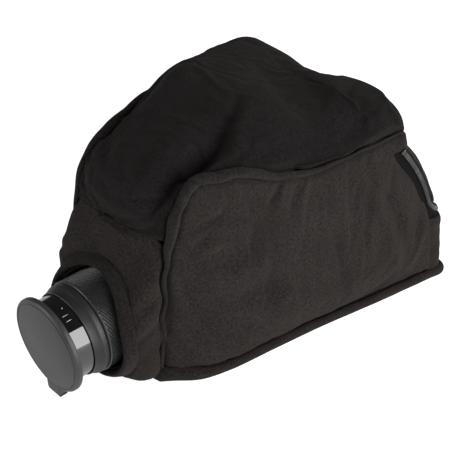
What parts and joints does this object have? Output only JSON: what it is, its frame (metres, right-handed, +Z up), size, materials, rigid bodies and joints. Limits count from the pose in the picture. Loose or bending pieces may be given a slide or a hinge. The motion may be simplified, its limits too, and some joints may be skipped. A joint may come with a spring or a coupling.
{
  "type": "film changing bag fitted round a camera",
  "caption": "Soft black cloth bag shaped round a film camera: the capped lens looks out through a front cuff, and a zipped flap closes the back.",
  "frame": {"origin": "centre of the flat underside of the bag, on the table, midway between the front and rear base seams", "axes": "+Z up, -Y along the lens axis towards the subject, +X to the side of the film winding knob"},
  "size_m": [0.2032, 0.2883, 0.1632],
  "materials": {
    "twill": "brushed cotton twill",
    "top_twill": "brushed cotton twill",
    "seam_cloth": "rolled and stitched seam",
    "elastic": "covered elastic",
    "zip_tape": "woven tape",
    "zip_nylon": "moulded coil",
    "zip_metal": "black coated",
    "cap_plastic": "fine satin",
    "grip_rubber": "matt",
    "felt": "flocked",
    "gloss_black": "gloss",
    "black_metal": "satin",
    "satin_grey": "matt",
    "bright_metal": "satin",
    "lens_glass": "coated",
    "body_shell": "leather-grain paint",
    "board": "plain"
  },
  "bodies": {
    "cover": {"side_panel_right": "twill", "side_panel_left": "twill", "front_panel": "twill", "bottom_panel": "twill", "rear_panel": "twill", "zip_gusset_right": "twill", "zip_gusset_left": "twill", "top_panel": "top_twill", "seam_roll_right": "seam_cloth", "seam_roll_left": "seam_cloth", "base_welt": "seam_cloth", "lens_cuff": "seam_cloth", "cuff_elastic": "elastic", "zip_tape_cover": "zip_tape", "zip_coil_cover": "zip_nylon", "zip_stop_left": "zip_metal", "zip_stop_right": "zip_metal", "eyepiece": "grip_rubber", "rear_barrel": "black_metal", "outer_sleeve": "satin_grey", "mount_ring": "bright_metal", "latch_pivot": "bright_metal", "tripod_bush": "bright_metal", "rear_element": "lens_glass", "camera_body": "body_shell", "finder_hood": "body_shell", "base_board": "board"},
    "flap": {"rear_flap": "twill", "zip_tape_flap": "zip_tape", "zip_coil_flap": "zip_nylon"},
    "slider_right": {"zip_slider_right": "zip_metal"},
    "pull_right": {"zip_pull_right": "zip_metal"},
    "slider_left": {"zip_slider_left": "zip_metal"},
    "pull_left": {"zip_pull_left": "zip_metal"},
    "barrel": {"inner_barrel": "gloss_black", "retaining_ring": "black_metal", "front_element": "lens_glass", "iris_plate": "black_metal"},
    "cap": {"lens_cap": "cap_plastic", "cap_tab_grip": "grip_rubber", "cap_felt": "felt"},
    "focus": {"focus_ring": "black_metal"},
    "iris_control": {"iris_ring": "black_metal"},
    "shutter": {"shutter_button": "bright_metal"},
    "knob": {"wind_knob": "black_metal"},
    "magazine": {"film_magazine": "body_shell"},
    "feed": {"spool_feed": "black_metal"},
    "takeup": {"spool_takeup": "black_metal"},
    "slide_plate": {"dark_slide": "bright_metal"},
    "latch": {"magazine_latch": "bright_metal"}
  },
  "joints": [
    {"name": "flap_open", "type": "hinge", "parent": "cover", "child": "flap", "pos_m": [0, 0.072, 0.113], "axis": [1, 0, 0], "range_deg": [0, 100]},
    {"name": "zip_slide_right", "type": "slide", "parent": "flap", "child": "slider_right", "axis": [1, 0, 0], "range_m": [0, 0.065]},
    {"name": "zip_slide_left", "type": "slide", "parent": "flap", "child": "slider_left", "axis": [-1, 0, 0], "range_m": [0, 0.065]},
    {"name": "pull_lift_right", "type": "hinge", "parent": "slider_right", "child": "pull_right", "pos_m": [0.006, 0.10535, 0.05949], "axis": [1, 0, 0], "range_deg": [0, 90]},
    {"name": "pull_lift_left", "type": "hinge", "parent": "slider_left", "child": "pull_left", "pos_m": [-0.006, 0.10535, 0.05949], "axis": [1, 0, 0], "range_deg": [0, 90]},
    {"name": "focus_turn", "type": "hinge", "parent": "cover", "child": "focus", "pos_m": [0, -0.13, 0.041], "axis": [0, -1, 0], "range_deg": [0, 90]},
    {"name": "barrel_extend", "type": "slide", "parent": "cover", "child": "barrel", "axis": [0, -1, 0], "range_m": [0, 0.008]},
    {"name": "cap_pull", "type": "slide", "parent": "barrel", "child": "cap", "axis": [0, -1, 0], "range_m": [0, 0.03]},
    {"name": "iris_turn", "type": "hinge", "parent": "cover", "child": "iris_control", "pos_m": [0, -0.114, 0.041], "axis": [0, -1, 0], "range_deg": [0, 60]},
    {"name": "shutter_press", "type": "slide", "parent": "cover", "child": "shutter", "axis": [0, 1, 0], "range_m": [0, 0.002]},
    {"name": "wind_turn", "type": "hinge", "parent": "cover", "child": "knob", "pos_m": [0.042, -0.045, 0.06], "axis": [1, 0, 0], "continuous": true},
    {"name": "magazine_draw", "type": "slide", "parent": "cover", "child": "magazine", "axis": [0, 1, 0], "range_m": [0, 0.03]},
    {"name": "feed_turn", "type": "hinge", "parent": "magazine", "child": "feed", "pos_m": [0, 0.008, 0.027], "axis": [1, 0, 0], "continuous": true},
    {"name": "takeup_turn", "type": "hinge", "parent": "magazine", "child": "takeup", "pos_m": [0, 0.008, 0.077], "axis": [1, 0, 0], "continuous": true},
    {"name": "dark_slide_draw", "type": "slide", "parent": "cover", "child": "slide_plate", "axis": [1, 0, 0], "range_m": [0, 0.02]},
    {"name": "latch_turn", "type": "hinge", "parent": "cover", "child": "latch", "pos_m": [0, -0.017, 0.098], "axis": [0, 0, 1], "range_deg": [0, 70]}
  ],
  "couplings": [
    {"joint": "barrel_extend", "follows": "focus_turn", "m_per_rad": 0.00509},
    {"joint": "takeup_turn", "follows": "wind_turn", "ratio": 1},
    {"joint": "feed_turn", "follows": "wind_turn", "ratio": 1}
  ]
}
